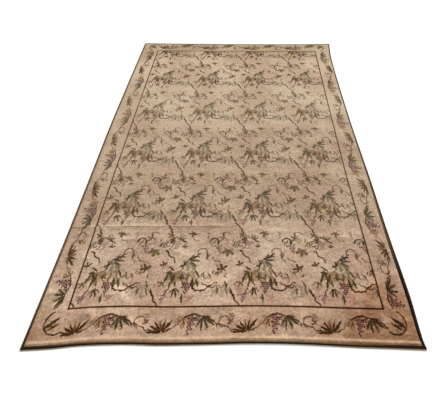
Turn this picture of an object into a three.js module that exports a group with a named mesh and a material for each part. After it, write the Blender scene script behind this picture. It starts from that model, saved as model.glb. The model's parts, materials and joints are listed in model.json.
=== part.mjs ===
// Needlepoint rug: a canvas worked in wool, bound at its edges and backed with cotton cloth.
// Millimetres. X runs across the rug, Y along it from the front end to the back, Z up from
// the floor. The cloth is first laid out on a plain rectangle, its cut, and each point of the
// cut is then carried to where the worn rug has it: the sides waver and the front end is bowed.

import * as THREE from 'three';

// Driving dimensions
const CUT_WIDTH = 1830;
const CUT_LENGTH = 2745;
const CLOTH_THICKNESS = 4.2;
const BACKING_THICKNESS = 1.2;
const BINDING_HEIGHT = 5.2;
const END_BINDING_WIDTH = 12;
const PIECE_GAP = 0.3;

// The front binding is set in from the front of the cut, and the backing's turned edge shows
// past it there. At the other edges the backing is held in under the binding.
const FRONT_SET_IN = 8;
const BACKING_HELD_IN = 2;

// The worked cloth rolls down at its rim, and folds die away before they reach the binding
const RIM_ROLL = 1.1;
const FOLD_FADE = 32;

// The turned hem of the front end stands up as a ridge along the whole width
const HEM_RIDGE = { inset: 30, reach: 8, height: 2.8 };

// The front and back ends are bowed, and the bow fades towards the middle of the length
const BOW_FADE_POWER = 4;

// Where the long edges stand and how wide the binding is there, by the place along the cut
const SIDE_EDGES = [
  { along: -1372.5, left: -920, right: 921, leftBinding: 11, rightBinding: 13 },
  { along: -1325, left: -920, right: 914, leftBinding: 12, rightBinding: 16 },
  { along: -1120, left: -919, right: 918, leftBinding: 13, rightBinding: 21 },
  { along: -790, left: -918, right: 907, leftBinding: 12, rightBinding: 20 },
  { along: -340, left: -922, right: 900, leftBinding: 11, rightBinding: 14 },
  { along: 150, left: -928, right: 887, leftBinding: 11, rightBinding: 11 },
  { along: 700, left: -925, right: 883, leftBinding: 11, rightBinding: 11 },
  { along: 1120, left: -920, right: 888, leftBinding: 11, rightBinding: 11 },
  { along: 1372.5, left: -918, right: 909, leftBinding: 11, rightBinding: 11 },
];

// Where the two ends stand and how much of the backing shows in front, by the place across
const END_EDGES = [
  { across: -915, front: -1372, back: 1384, backingShows: 6 },
  { across: -780, front: -1365, back: 1380, backingShows: 5 },
  { across: -640, front: -1352, back: 1377, backingShows: 5 },
  { across: -450, front: -1347, back: 1373, backingShows: 5 },
  { across: -290, front: -1350, back: 1370, backingShows: 6 },
  { across: -60, front: -1347, back: 1366, backingShows: 4 },
  { across: 130, front: -1344, back: 1364, backingShows: 2 },
  { across: 340, front: -1347, back: 1363, backingShows: 3 },
  { across: 620, front: -1359, back: 1364, backingShows: 6 },
  { across: 800, front: -1365, back: 1367, backingShows: 6 },
  { across: 915, front: -1369, back: 1373, backingShows: 7 },
];

// Creases and wrinkles of the front half, each a soft ridge between two points of the cut
const FOLDS = [
  { name: 'cross crease, left', fromX: -930, fromY: -738, toX: -330, toY: -733, height: 4.5, reach: 12 },
  { name: 'cross crease, low stretch', fromX: -460, fromY: -734, toX: -170, toY: -732, height: 2.4, reach: 12 },
  { name: 'cross crease, middle', fromX: -250, fromY: -733, toX: 0, toY: -726, height: 4.0, reach: 12 },
  { name: 'cross crease, right', fromX: 140, fromY: -741, toX: 350, toY: -766, height: 3.2, reach: 13 },
  { name: 'cross crease, far right', fromX: 480, fromY: -790, toX: 720, toY: -798, height: 3.2, reach: 13 },
  { name: 'short crease', fromX: -670, fromY: -811, toX: -440, toY: -815, height: 2.4, reach: 14 },
  { name: 'slanting crease', fromX: -350, fromY: -858, toX: -140, toY: -943, height: 3.0, reach: 18 },
  { name: 'front left wrinkle', fromX: -690, fromY: -1010, toX: -440, toY: -1195, height: 6.0, reach: 30 },
  { name: 'front middle wrinkle', fromX: -160, fromY: -1135, toX: 60, toY: -1035, height: 4.5, reach: 30 },
  { name: 'front right wrinkle', fromX: 560, fromY: -1190, toX: 790, toY: -1025, height: 6.0, reach: 28 },
  { name: 'left edge tuck', fromX: -925, fromY: -1278, toX: -800, toY: -1258, height: 3.5, reach: 14 },
  { name: 'right edge tuck', fromX: 790, fromY: -1258, toX: 925, toY: -1238, height: 3.5, reach: 14 },
];

// Spacing of the sheet's columns and rows: close where it is folded and wide where it is flat
const COLUMN_ZONES = [
  { from: -880, to: -800, step: 40 },
  { from: -720, to: -440, step: 40 },
  { from: -350, to: -170, step: 60 },
  { from: -110, to: 50, step: 40 },
  { from: 140, to: 500, step: 90 },
  { from: 570, to: 810, step: 40 },
  { from: 860, to: 882, step: 22 },
];
const ROW_ZONES = [
  { from: -1348, to: -1324, step: 6 },
  { from: -1314, to: -1299, step: 15 },
  { from: -1280, to: -1180, step: 25 },
  { from: -1150, to: -1030, step: 30 },
  { from: -990, to: -840, step: 30 },
  { from: -812, to: -772, step: 10 },
  { from: -757, to: -709, step: 8 },
  { from: -680, to: -600, step: 80 },
  { from: -450, to: 1290, step: 145 },
  { from: 1335, to: 1348, step: 13 },
];

const HALF_WIDTH = CUT_WIDTH / 2;
const HALF_LENGTH = CUT_LENGTH / 2;
const UPPER_FLOOR = BACKING_THICKNESS + PIECE_GAP;
const FRONT_OF_BINDING = -HALF_LENGTH + FRONT_SET_IN;

// The value of one column of a table at a place between its rows, on a smooth cubic through
// the rows whose slope at each row is that of its two neighbours
function tableValue(table, key, column, at) {
  const last = table.length - 1;
  const inside = THREE.MathUtils.clamp(at, table[0][key], table[last][key]);
  let row = 0;
  while (row < last - 1 && inside > table[row + 1][key]) row += 1;
  const slopeAt = (i) => {
    const before = table[Math.max(i - 1, 0)];
    const after = table[Math.min(i + 1, last)];
    return (after[column] - before[column]) / (after[key] - before[key]);
  };
  const span = table[row + 1][key] - table[row][key];
  const t = (inside - table[row][key]) / span;
  const t2 = t * t;
  const t3 = t2 * t;
  return (2 * t3 - 3 * t2 + 1) * table[row][column]
    + (t3 - 2 * t2 + t) * span * slopeAt(row)
    + (3 * t2 - 2 * t3) * table[row + 1][column]
    + (t3 - t2) * span * slopeAt(row + 1);
}

// Every grid line of a table of zones, in order
function zoneLines(zones) {
  const lines = [];
  for (const { from, to, step } of zones) {
    const count = Math.round((to - from) / step);
    for (let i = 0; i <= count; i += 1) lines.push(from + i * step);
  }
  return lines;
}

// Where a point of the cut lies on the floor, seen from above
function laidOut(x, y) {
  const left = tableValue(SIDE_EDGES, 'along', 'left', y);
  const right = tableValue(SIDE_EDGES, 'along', 'right', y);
  const front = tableValue(END_EDGES, 'across', 'front', x);
  const back = tableValue(END_EDGES, 'across', 'back', x);
  const across = (x + HALF_WIDTH) / CUT_WIDTH;
  const along = THREE.MathUtils.clamp((y + HALF_LENGTH) / CUT_LENGTH, 0, 1);
  return {
    x: THREE.MathUtils.lerp(left, right, across),
    y: y + (front + HALF_LENGTH) * (1 - along) ** BOW_FADE_POWER
      + (back - HALF_LENGTH) * along ** BOW_FADE_POWER,
  };
}

// Height of one fold at a point of the cut: a bell across its line, eased in at both ends
function foldHeight(fold, x, y) {
  const runX = fold.toX - fold.fromX;
  const runY = fold.toY - fold.fromY;
  const length = Math.hypot(runX, runY);
  const along = ((x - fold.fromX) * runX + (y - fold.fromY) * runY) / (length * length);
  const aside = ((x - fold.fromX) * runY - (y - fold.fromY) * runX) / length;
  const ends = THREE.MathUtils.smoothstep(along, 0, 0.22)
    * THREE.MathUtils.smoothstep(1 - along, 0, 0.22);
  return fold.height * ends * Math.exp(-((aside / fold.reach) ** 2));
}

// How far the worked cloth is lifted off its flat lie at a point of the cut
function lift(x, y) {
  const hemAside = (y + HALF_LENGTH - HEM_RIDGE.inset) / HEM_RIDGE.reach;
  const hem = HEM_RIDGE.height * Math.exp(-(hemAside ** 2));
  const folds = FOLDS.reduce((sum, fold) => sum + foldHeight(fold, x, y), hem);
  return folds * THREE.MathUtils.smoothstep(HALF_WIDTH - Math.abs(x), END_BINDING_WIDTH, FOLD_FADE);
}

// Inner edges of the bindings, in the cut
function leftInnerEdge(y) {
  return -HALF_WIDTH + tableValue(SIDE_EDGES, 'along', 'leftBinding', y);
}

function rightInnerEdge(y) {
  return HALF_WIDTH - tableValue(SIDE_EDGES, 'along', 'rightBinding', y);
}

const FRONT_INNER_EDGE = FRONT_OF_BINDING + END_BINDING_WIDTH;
const BACK_INNER_EDGE = HALF_LENGTH - END_BINDING_WIDTH;
const COLUMNS = zoneLines(COLUMN_ZONES);
const ROWS = zoneLines(ROW_ZONES);

// A closed body from its points and triangles, turned so that its faces point outwards
function closedBody(points, triangles) {
  const cross = new THREE.Vector3();
  let volume = 0;
  for (const [a, b, c] of triangles) {
    volume += points[a].dot(cross.crossVectors(points[b], points[c]));
  }
  const geometry = new THREE.BufferGeometry().setFromPoints(points);
  geometry.setIndex(triangles.flatMap(([a, b, c]) => (volume < 0 ? [a, c, b] : [a, b, c])));
  geometry.computeVertexNormals();
  return geometry;
}

// The worked cloth: a sheet of one thickness on the grid of rows and columns. Its underside
// follows the folds of its upper face, and its rim is rolled down.
function workedCloth() {
  const rows = [FRONT_INNER_EDGE + PIECE_GAP, ...ROWS, BACK_INNER_EDGE - PIECE_GAP];
  const across = COLUMNS.length + 2;
  const points = [];
  for (const upper of [true, false]) {
    rows.forEach((y, row) => {
      const columns = [leftInnerEdge(y) + PIECE_GAP, ...COLUMNS, rightInnerEdge(y) - PIECE_GAP];
      columns.forEach((x, column) => {
        const onRim = row === 0 || row === rows.length - 1 || column === 0 || column === across - 1;
        const thickness = CLOTH_THICKNESS - (onRim ? RIM_ROLL : 0);
        const place = laidOut(x, y);
        const z = UPPER_FLOOR + lift(x, y) + (upper ? thickness : 0);
        points.push(new THREE.Vector3(place.x, place.y, z));
      });
    });
  }
  const lower = rows.length * across;
  const at = (column, row) => row * across + column;
  const triangles = [];
  for (let row = 0; row < rows.length - 1; row += 1) {
    for (let column = 0; column < across - 1; column += 1) {
      const a = at(column, row);
      const b = at(column + 1, row);
      const c = at(column + 1, row + 1);
      const d = at(column, row + 1);
      triangles.push([a, b, c], [a, c, d]);
      triangles.push([lower + a, lower + c, lower + b], [lower + a, lower + d, lower + c]);
    }
  }
  const rim = [];
  for (let column = 0; column < across - 1; column += 1) rim.push(at(column, 0));
  for (let row = 0; row < rows.length - 1; row += 1) rim.push(at(across - 1, row));
  for (let column = across - 1; column > 0; column -= 1) rim.push(at(column, rows.length - 1));
  for (let row = rows.length - 1; row > 0; row -= 1) rim.push(at(0, row));
  rim.forEach((a, i) => {
    const b = rim[(i + 1) % rim.length];
    triangles.push([lower + a, lower + b, b], [lower + a, b, a]);
  });
  return closedBody(points, triangles);
}

// The backing: a flat cloth with the rug's outline, under everything else
function backingCloth() {
  const side = HALF_WIDTH - BACKING_HELD_IN;
  const back = HALF_LENGTH - BACKING_HELD_IN;
  const columns = [-side, ...COLUMNS, side];
  const front = (x) => FRONT_OF_BINDING - tableValue(END_EDGES, 'across', 'backingShows', x);
  const outline = [
    ...columns.map((x) => laidOut(x, front(x))),
    ...ROWS.map((y) => laidOut(side, y)),
    ...columns.toReversed().map((x) => laidOut(x, back)),
    ...ROWS.toReversed().map((y) => laidOut(-side, y)),
  ];
  const shape = new THREE.Shape(outline.map(({ x, y }) => new THREE.Vector2(x, y)));
  return new THREE.ExtrudeGeometry(shape, { depth: BACKING_THICKNESS, bevelEnabled: false });
}

// Section of a binding: how far in from its outer edge, as a share of its width, and how high
// above the backing, as a share of its height. It is crowned and its outer side is rounded.
const BINDING_SECTION = [
  { inward: 0.07, up: 0 },
  { inward: 0.97, up: 0 },
  { inward: 1, up: 0.2 },
  { inward: 1, up: 0.66 },
  { inward: 0.8, up: 0.92 },
  { inward: 0.48, up: 1 },
  { inward: 0.18, up: 0.84 },
  { inward: 0, up: 0.42 },
];

// A binding carried through its stations: each station turns a share of the width into a
// point of the cut. Both ends are closed flat.
function bindingStrip(stations) {
  const sides = BINDING_SECTION.length;
  const points = stations.flatMap((station) => BINDING_SECTION.map(({ inward, up }) => {
    const cut = station(inward);
    const place = laidOut(cut.x, cut.y);
    return new THREE.Vector3(place.x, place.y, UPPER_FLOOR + up * BINDING_HEIGHT);
  }));
  const triangles = [];
  for (let station = 0; station < stations.length - 1; station += 1) {
    for (let side = 0; side < sides; side += 1) {
      const a = station * sides + side;
      const b = station * sides + ((side + 1) % sides);
      triangles.push([a, a + sides, b + sides], [a, b + sides, b]);
    }
  }
  const end = (stations.length - 1) * sides;
  for (let side = 1; side < sides - 1; side += 1) {
    triangles.push([0, side, side + 1], [end, end + side + 1, end + side]);
  }
  return closedBody(points, triangles);
}

// The long bindings are mitred at both ends, on the line from the outer corner to the inner one
function longBinding(outerX, innerEdge) {
  const xAt = (y, inward) => THREE.MathUtils.lerp(outerX, innerEdge(y), inward);
  const mitre = (y, way) => (inward) => {
    const cutY = y + way * (inward * END_BINDING_WIDTH + PIECE_GAP);
    return { x: xAt(cutY, inward), y: cutY };
  };
  return bindingStrip([
    mitre(FRONT_OF_BINDING, 1),
    ...ROWS.map((y) => (inward) => ({ x: xAt(y, inward), y })),
    mitre(HALF_LENGTH, -1),
  ]);
}

// The end bindings are mitred to meet the long ones
function endBinding(outerY, way) {
  const innerY = outerY + way * END_BINDING_WIDTH;
  const yAt = (inward) => THREE.MathUtils.lerp(outerY, innerY, inward);
  return bindingStrip([
    (inward) => ({
      x: THREE.MathUtils.lerp(-HALF_WIDTH, leftInnerEdge(innerY), inward) + PIECE_GAP,
      y: yAt(inward),
    }),
    ...COLUMNS.map((x) => (inward) => ({ x, y: yAt(inward) })),
    (inward) => ({
      x: THREE.MathUtils.lerp(HALF_WIDTH, rightInnerEdge(innerY), inward) - PIECE_GAP,
      y: yAt(inward),
    }),
  ]);
}

const workedWool = new THREE.MeshStandardMaterial({ color: '#bfa384', roughness: 0.95, metalness: 0 });
const backingCotton = new THREE.MeshStandardMaterial({ color: '#b9a58c', roughness: 0.95, metalness: 0 });
const bindingWool = new THREE.MeshStandardMaterial({ color: '#3b2818', roughness: 0.9, metalness: 0 });

const pieces = [
  { name: 'needlepoint_face', geometry: workedCloth(), material: workedWool },
  { name: 'backing_cloth', geometry: backingCloth(), material: backingCotton },
  { name: 'binding_front', geometry: endBinding(FRONT_OF_BINDING, 1), material: bindingWool },
  { name: 'binding_back', geometry: endBinding(HALF_LENGTH, -1), material: bindingWool },
  { name: 'binding_left', geometry: longBinding(-HALF_WIDTH, leftInnerEdge), material: bindingWool },
  { name: 'binding_right', geometry: longBinding(HALF_WIDTH, rightInnerEdge), material: bindingWool },
];

const rug = new THREE.Group();
for (const { name, geometry, material } of pieces) {
  const mesh = new THREE.Mesh(geometry, material);
  mesh.name = name;
  rug.add(mesh);
}

// The origin is on the floor under the middle of the rug's box
const middle = new THREE.Box3().setFromObject(rug).getCenter(new THREE.Vector3());
rug.position.set(-middle.x, -middle.y, 0);

export default rug;
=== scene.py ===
"""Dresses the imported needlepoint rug: its worked face, its bindings, its backing and the stage.

Tables of places and lengths are in millimetres of the cut, the plain rectangle that the cloth
was before it was laid down, with X across, Y from the front end to the back and the origin in
the middle. Meshes and nodes are in metres.
"""

import json
import math
from collections import namedtuple
from functools import partial

import bpy
import numpy as np
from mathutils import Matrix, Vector

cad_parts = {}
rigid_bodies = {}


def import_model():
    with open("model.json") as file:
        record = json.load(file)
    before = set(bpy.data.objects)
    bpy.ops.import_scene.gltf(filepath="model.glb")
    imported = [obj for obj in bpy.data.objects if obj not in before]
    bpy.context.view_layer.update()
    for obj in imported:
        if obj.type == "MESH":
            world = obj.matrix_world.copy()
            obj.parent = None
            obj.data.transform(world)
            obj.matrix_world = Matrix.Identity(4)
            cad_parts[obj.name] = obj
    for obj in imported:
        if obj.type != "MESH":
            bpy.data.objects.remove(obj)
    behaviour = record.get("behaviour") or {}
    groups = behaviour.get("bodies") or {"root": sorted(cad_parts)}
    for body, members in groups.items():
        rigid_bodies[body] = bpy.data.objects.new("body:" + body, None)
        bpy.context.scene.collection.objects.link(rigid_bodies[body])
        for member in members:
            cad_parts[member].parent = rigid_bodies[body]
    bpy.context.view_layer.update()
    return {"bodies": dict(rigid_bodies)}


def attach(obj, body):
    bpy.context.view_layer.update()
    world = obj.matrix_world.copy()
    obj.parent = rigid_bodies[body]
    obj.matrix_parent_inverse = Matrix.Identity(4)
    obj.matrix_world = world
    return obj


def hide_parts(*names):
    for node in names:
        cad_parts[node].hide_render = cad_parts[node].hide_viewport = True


bl_info = {
    "name": "Needlepoint rug",
    "version": (1, 0, 0),
    "blender": (4, 5, 0),
    "location": "3D View > Sidebar > Rug",
    "description": "Makes a bound needlepoint rug with a grapevine pattern on its frame",
    "category": "Object",
}

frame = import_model()
BODY = next(iter(frame["bodies"]))

MM = 0.001

# ---- How the rug lies, as the frame has it

HALF_WIDTH = 915.0
HALF_LENGTH = 1372.5
UPPER_FLOOR = 1.5          # underside of the worked cloth above the floor
PIECE_GAP = 0.3
FRONT_OF_BINDING = -1364.5
END_BINDING_WIDTH = 12.0
RIM_ROLL = 1.1             # how far the worked cloth rolls down at its rim
BOW_FADE_POWER = 4

# The rug's box has its middle over the origin, and the cut is moved by this to get it there
TO_MIDDLE = (4.1936, -7.0537)

SideEdge = namedtuple("SideEdge", "along left right left_binding right_binding")
SIDE_EDGES = [
    SideEdge(-1372.5, -920, 921, 11, 13),
    SideEdge(-1325, -920, 914, 12, 16),
    SideEdge(-1120, -919, 918, 13, 21),
    SideEdge(-790, -918, 907, 12, 20),
    SideEdge(-340, -922, 900, 11, 14),
    SideEdge(150, -928, 887, 11, 11),
    SideEdge(700, -925, 883, 11, 11),
    SideEdge(1120, -920, 888, 11, 11),
    SideEdge(1372.5, -918, 909, 11, 11),
]

EndEdge = namedtuple("EndEdge", "across front back backing_shows")
END_EDGES = [
    EndEdge(-915, -1372, 1384, 6),
    EndEdge(-780, -1365, 1380, 5),
    EndEdge(-640, -1352, 1377, 5),
    EndEdge(-450, -1347, 1373, 5),
    EndEdge(-290, -1350, 1370, 6),
    EndEdge(-60, -1347, 1366, 4),
    EndEdge(130, -1344, 1364, 2),
    EndEdge(340, -1347, 1363, 3),
    EndEdge(620, -1359, 1364, 6),
    EndEdge(800, -1365, 1367, 6),
    EndEdge(915, -1369, 1373, 7),
]

HemRidge = namedtuple("HemRidge", "inset reach height")
HEM_RIDGE = HemRidge(30, 8, 2.8)

# Creases and wrinkles: soft ridges between two points of the cut
Fold = namedtuple("Fold", "from_x from_y to_x to_y height reach")
FOLDS = [
    Fold(-930, -738, -330, -733, 4.5, 12),
    Fold(-460, -734, -170, -732, 2.4, 12),
    Fold(-250, -733, 0, -726, 4.0, 12),
    Fold(140, -741, 350, -766, 3.2, 13),
    Fold(480, -790, 720, -798, 3.2, 13),
    Fold(-670, -811, -440, -815, 2.4, 14),
    Fold(-350, -858, -140, -943, 3.0, 18),
    Fold(-690, -1010, -440, -1195, 6.0, 30),
    Fold(-160, -1135, 60, -1035, 4.5, 30),
    Fold(560, -1190, 790, -1025, 6.0, 28),
    Fold(-925, -1278, -800, -1258, 3.5, 14),
    Fold(790, -1258, 925, -1238, 3.5, 14),
    Fold(-770, -1202, -640, -1222, 3.0, 14),
    Fold(-672, -1186, -600, -1272, 5.0, 15),
    Fold(-475, -1238, -345, -1328, 5.0, 16),
    Fold(-250, -1208, -180, -1300, 2.8, 15),
    Fold(-925, -1085, -840, -1120, 3.2, 14),
    Fold(20, -1196, 110, -1290, 3.2, 17),
    Fold(300, -1300, 400, -1210, 3.2, 17),
    Fold(640, -1180, 770, -1085, 5.0, 17),
    Fold(760, -1150, 850, -1240, 3.2, 16),
]
FOLD_END = 0.22            # share of a fold's length over which each of its ends dies away
FOLD_FADE = 32             # how far from a side the folds reach their full height
HIGHEST_FOLD = max(fold.height for fold in FOLDS)

# Low swells that the cloth keeps between its creases: how long a wave is across and along,
# where it starts and how high it stands
Swell = namedtuple("Swell", "across along start height")
SWELLS = [
    Swell(610, 420, 0.3, 0.8),
    Swell(-330, 250, 1.9, 0.6),
    Swell(190, -410, 4.1, 0.4),
    Swell(900, 145, 2.6, 0.35),
    Swell(-150, 120, 0.9, 0.25),
]

# Insets of the first grid lines from each rim, which carry the roll of the rim
RIM_STEPS = np.array([0, 0.5, 1.4, 3.0, 5.5, 9.0])

# Spacing of the worked cloth's rows: close over the hem and creases, wide on the flat
ROW_ZONES = [(-1340, -1300, 3.0), (-1294, -690, 5.5), (-680, 1340, 20.0)]
CLOTH_COLUMNS = 178
BACKING_SCALLOP = 0.35     # how far the backing's front edge waves, in millimetres

# The backing: how far inside the cut it ends, its first grid lines' insets, where its even grid
# starts and how many columns and rows that has
BACKING_INSET = 2
BACKING_STEPS = np.array([0, 0.6, 1.6, 3.0])
BACKING_RIM = 12
BACKING_GRID = (150, 110)


# A sheet's map for baking: where its upper face and its underside start and how far they reach,
# and the heights of the rim's strip
BAKE_TOP = np.array([(0.001, 0.001), (0.998, 0.95)])
BAKE_BOTTOM = np.array([(0.001, 0.97), (0.998, 0.028)])
BAKE_RIM = [0.956, 0.956, 0.966, 0.966]


def table_value(table, column, at):
    """A table's column at each place: a smooth cubic through the rows, whose slope at a row is
    that of its two neighbours."""
    keys = np.array([row[0] for row in table], float)
    values = np.array([getattr(row, column) for row in table], float)
    rows = np.arange(len(keys))
    before, after = np.maximum(rows - 1, 0), np.minimum(rows + 1, len(keys) - 1)
    slopes = (values[after] - values[before]) / (keys[after] - keys[before])
    inside = np.clip(at, keys[0], keys[-1])
    row = np.clip(np.searchsorted(keys, inside) - 1, 0, len(keys) - 2)
    span = keys[row + 1] - keys[row]
    t = (inside - keys[row]) / span
    return (
        (2 * t**3 - 3 * t**2 + 1) * values[row]
        + (t**3 - 2 * t**2 + t) * span * slopes[row]
        + (3 * t**2 - 2 * t**3) * values[row + 1]
        + (t**3 - t**2) * span * slopes[row + 1]
    )


def eased(value, low, high):
    """0 below low, 1 above high, and 3t^2 - 2t^3 between them."""
    t = np.clip((value - low) / (high - low), 0, 1)
    return t * t * (3 - 2 * t)


def laid_out(x, y):
    """Where points of the cut lie on the floor, before the move to the middle. X runs evenly
    from the left edge to the right one. Y is moved by the bow of each end, which fades with
    the fourth power of the distance from that end."""
    left = table_value(SIDE_EDGES, "left", y)
    right = table_value(SIDE_EDGES, "right", y)
    front = table_value(END_EDGES, "front", x)
    back = table_value(END_EDGES, "back", x)
    along = np.clip((y + HALF_LENGTH) / (2 * HALF_LENGTH), 0, 1)
    return (
        left + (right - left) * (x + HALF_WIDTH) / (2 * HALF_WIDTH),
        y + (front + HALF_LENGTH) * (1 - along) ** BOW_FADE_POWER
        + (back - HALF_LENGTH) * along**BOW_FADE_POWER,
    )


def placed(x, y, z):
    """Points of the cut at a height, as metres in the rug's frame."""
    out_x, out_y = laid_out(x, y)
    z = np.broadcast_to(z, out_x.shape)
    return np.stack([out_x + TO_MIDDLE[0], out_y + TO_MIDDLE[1], z], -1) * MM


def fold_height(fold, x, y):
    """A bell across the fold's line, exp(-(aside / reach)^2), eased in at both of its ends."""
    run_x, run_y = fold.to_x - fold.from_x, fold.to_y - fold.from_y
    length = math.hypot(run_x, run_y)
    along = ((x - fold.from_x) * run_x + (y - fold.from_y) * run_y) / length**2
    aside = ((x - fold.from_x) * run_y - (y - fold.from_y) * run_x) / length
    ends = eased(along, 0, FOLD_END) * eased(1 - along, 0, FOLD_END)
    return fold.height * ends * np.exp(-((aside / fold.reach) ** 2))


def folds_height(x, y):
    """Height of all the creases and wrinkles together."""
    return sum(fold_height(fold, x, y) for fold in FOLDS)


def lift(x, y):
    """Height of the worked cloth off its flat lie: the hem's ridge and every fold, faded out
    at the side bindings, and low swells that are a sum of sines kept above zero."""
    hem = HEM_RIDGE.height * np.exp(-(((y + HALF_LENGTH - HEM_RIDGE.inset) / HEM_RIDGE.reach) ** 2))
    folds = hem + folds_height(x, y)
    from_edge = HALF_WIDTH - np.abs(x)
    from_end = HALF_LENGTH - np.abs(y)
    swells = 0
    for swell in SWELLS:
        phase = math.tau * (x / swell.across + y / swell.along) + swell.start
        swells = swells + swell.height * 0.5 * (1 + np.sin(phase))
    calm = 0.35 + 0.65 * eased(-y, -200, 900)
    inland = eased(np.minimum(from_edge, from_end), 20, 90)
    return folds * eased(from_edge, END_BINDING_WIDTH, FOLD_FADE) + swells * calm * inland


def grid_faces(rows, columns, first=0, flipped=False):
    """The four corners of each cell of a grid of points that are numbered row by row."""
    start = first + np.arange(rows - 1)[:, None] * columns + np.arange(columns - 1)[None, :]
    cells = np.stack([start, start + 1, start + columns + 1, start + columns], -1).reshape(-1, 4)
    return cells[:, ::-1] if flipped else cells


def rim_walk(rows, columns):
    """Numbers of a grid's outer points, anticlockwise from the first."""
    ids = np.arange(rows * columns).reshape(rows, columns)
    return np.concatenate([ids[0, :-1], ids[:-1, -1], ids[-1, :0:-1], ids[:0:-1, 0]])


def new_piece(name, points, faces, material, maps):
    """A smooth mesh piece at the origin. Each map is a UV map's name and the place in it of
    every corner of every face."""
    mesh = bpy.data.meshes.new(name)
    mesh.from_pydata(points.reshape(-1, 3).tolist(), [], faces)
    for map_name, corners in maps:
        layer = mesh.uv_layers.new(name=map_name, do_init=False)
        layer.uv.foreach_set("vector", corners.astype(np.float32).ravel())
    mesh.shade_smooth()
    mesh.validate()
    mesh.materials.append(material)
    piece = bpy.data.objects.new(name, mesh)
    bpy.context.scene.collection.objects.link(piece)
    return piece


def sheet_piece(name, upper, lower, material, maps):
    """A closed sheet: an upper grid of points, a lower one, and a band round the rim between
    them. A map gives the place of each grid point, for both faces of the sheet. The map for
    baking lays the upper face over most of the square, and the rim and the underside in
    narrow strips above it."""
    rows, columns = upper.shape[:2]
    count = rows * columns
    rim = rim_walk(rows, columns)
    onward = np.roll(rim, -1)
    band = np.stack([count + rim, count + onward, onward, rim], -1)
    top, bottom = grid_faces(rows, columns), grid_faces(rows, columns, count, flipped=True)
    faces = np.concatenate([top, bottom, band])
    layers = [
        (map_name, np.concatenate([place.reshape(-1, 2)] * 2)[faces]) for map_name, place in maps
    ]
    row, column = np.divmod(np.arange(count), columns)
    share = np.stack([column / (columns - 1), row / (rows - 1)], -1)
    top_place = share[top % count] * BAKE_TOP[1] + BAKE_TOP[0]
    bottom_place = share[bottom % count] * BAKE_BOTTOM[1] + BAKE_BOTTOM[0]
    step = np.arange(len(rim)) / len(rim)
    ends = np.stack([step, step + 1 / len(rim), step + 1 / len(rim), step], -1)
    heights = np.tile(BAKE_RIM, (len(rim), 1))
    band_place = np.stack([ends * BAKE_TOP[1][0] + BAKE_TOP[0][0], heights], -1)
    layers.append(("OFBake", np.concatenate([top_place, bottom_place, band_place])))
    points = np.concatenate([upper.reshape(-1, 3), lower.reshape(-1, 3)])
    return new_piece(name, points, faces.tolist(), material, layers)


def spread_lines(zones):
    """Evenly spaced lines through each zone of a table, in order."""
    return np.concatenate([
        np.linspace(low, high, round((high - low) / step) + 1) for low, high, step in zones
    ])


def worked_cloth(sizes, material):
    """The worked face. The grid's rows and columns run over the cut inside the bindings. The
    upper face is the lift plus the thickness less the roll at the rim, and the underside is
    the lift alone, so the cloth has one thickness on every fold."""
    thickness = sizes.cloth_thickness / MM
    front = FRONT_OF_BINDING + END_BINDING_WIDTH + PIECE_GAP
    back = HALF_LENGTH - END_BINDING_WIDTH - PIECE_GAP
    rows = [front + RIM_STEPS, spread_lines(ROW_ZONES), back - RIM_STEPS[::-1]]
    rows = np.concatenate(rows)[:, None]
    left = -HALF_WIDTH + table_value(SIDE_EDGES, "left_binding", rows) + PIECE_GAP
    right = HALF_WIDTH - table_value(SIDE_EDGES, "right_binding", rows) - PIECE_GAP
    across = np.linspace(0, 1, CLOTH_COLUMNS)[None, 1:-1]
    inner_left, inner_right = left + RIM_STEPS[-1], right - RIM_STEPS[-1]
    x = np.concatenate([
        left + RIM_STEPS, inner_left + (inner_right - inner_left) * across, right - RIM_STEPS[::-1],
    ], 1)
    y = np.broadcast_to(rows, x.shape)
    from_rim = np.minimum(np.minimum(x - left, right - x), np.minimum(y - front, back - y))
    roll = RIM_ROLL * (1 - np.clip(from_rim / RIM_STEPS[-1], 0, 1)) ** 2
    under = UPPER_FLOOR + lift(x, y)
    floor_x = laid_out(x, y)[0]
    beyond_side = np.maximum(guard_line("left", y) - floor_x, floor_x - guard_line("right", y))
    beyond_end = np.maximum(GUARD_FRONT - y, y - GUARD_BACK)
    maps = [
        ("Worked", np.stack([floor_x, y], -1) * MM),
        ("Beyond guard line", np.stack([beyond_side, beyond_end], -1) * MM),
        ("Raised", np.stack([folds_height(x, y) / HIGHEST_FOLD, 0 * x], -1)),
    ]
    return sheet_piece(
        "worked_face", placed(x, y, under + thickness - roll), placed(x, y, under), material, maps,
    )


def backing_cloth(sizes, material):
    """The backing: a flat sheet with the rug's outline, whose upper edge is rounded over its
    last three millimetres and whose front edge waves a little."""
    thickness = sizes.backing_thickness / MM
    side = HALF_WIDTH - BACKING_INSET
    insets, rim = BACKING_STEPS, BACKING_RIM
    columns, rows = BACKING_GRID
    x = [-side + insets, np.linspace(-side + rim, side - rim, columns), side - insets[::-1]]
    x = np.concatenate(x)[None, :]
    wave = BACKING_SCALLOP * np.sin(x / 23) * np.sin(x / 61)
    front = FRONT_OF_BINDING - table_value(END_EDGES, "backing_shows", x) + wave
    back = HALF_LENGTH - BACKING_INSET + 0 * x
    middle = np.linspace(0, 1, rows)[:, None]
    y = np.concatenate([
        front + insets[:, None],
        front + rim + (back - front - 2 * rim) * middle,
        back - insets[::-1, None],
    ])
    x = np.broadcast_to(x, y.shape)
    from_rim = np.minimum(side - np.abs(x), np.minimum(y - front, back - y))
    roll = 0.5 * thickness * (1 - np.sqrt(1 - (1 - np.clip(from_rim / insets[-1], 0, 1)) ** 2))
    maps = [("Woven", np.stack([x, y], -1) * MM)]
    upper, lower = placed(x, y, thickness - roll), placed(x, y, roll * 0)
    return sheet_piece("backing", upper, lower, material, maps)


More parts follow.
